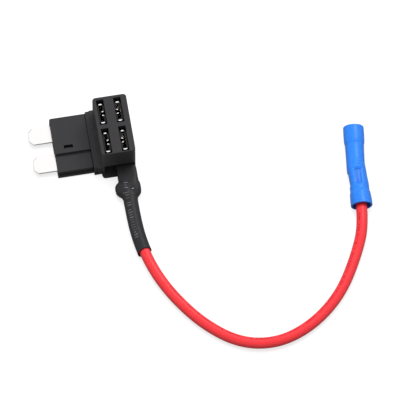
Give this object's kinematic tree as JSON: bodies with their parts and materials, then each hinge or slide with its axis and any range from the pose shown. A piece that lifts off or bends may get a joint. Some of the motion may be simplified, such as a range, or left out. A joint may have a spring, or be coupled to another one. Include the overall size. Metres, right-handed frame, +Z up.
{
  "type": "fuse tap",
  "caption": "Right-angle blade fuse tap with a moulded head of fuse sockets, a plug with flat blades, and a wire tail ending in a crimp connector.",
  "frame": {"origin": "on the flat base, on the plug's centre line, under the head's blade side", "axes": "+X from the blades towards the head, +Y across the blades away from the wire's exit, +Z up out of the fuse sockets"},
  "size_m": [0.0981, 0.082, 0.0148],
  "materials": {
    "housing": "fine satin moulding",
    "cover": "fine satin moulding",
    "terminal": "tin plated",
    "shrink": "soft satin",
    "insulation": "glossy",
    "strands": "bare copper",
    "connector": "glossy, slightly clear"
  },
  "bodies": {
    "root": {"housing_body": "housing", "base_cover": "cover", "feed_terminal": "terminal", "load_terminal": "terminal", "tap_terminal": "terminal", "heat_shrink_sleeve": "shrink", "wire_insulation": "insulation", "wire_conductor": "strands", "butt_connector_sleeve": "connector", "butt_connector_barrel": "terminal"}
  },
  "joints": []
}
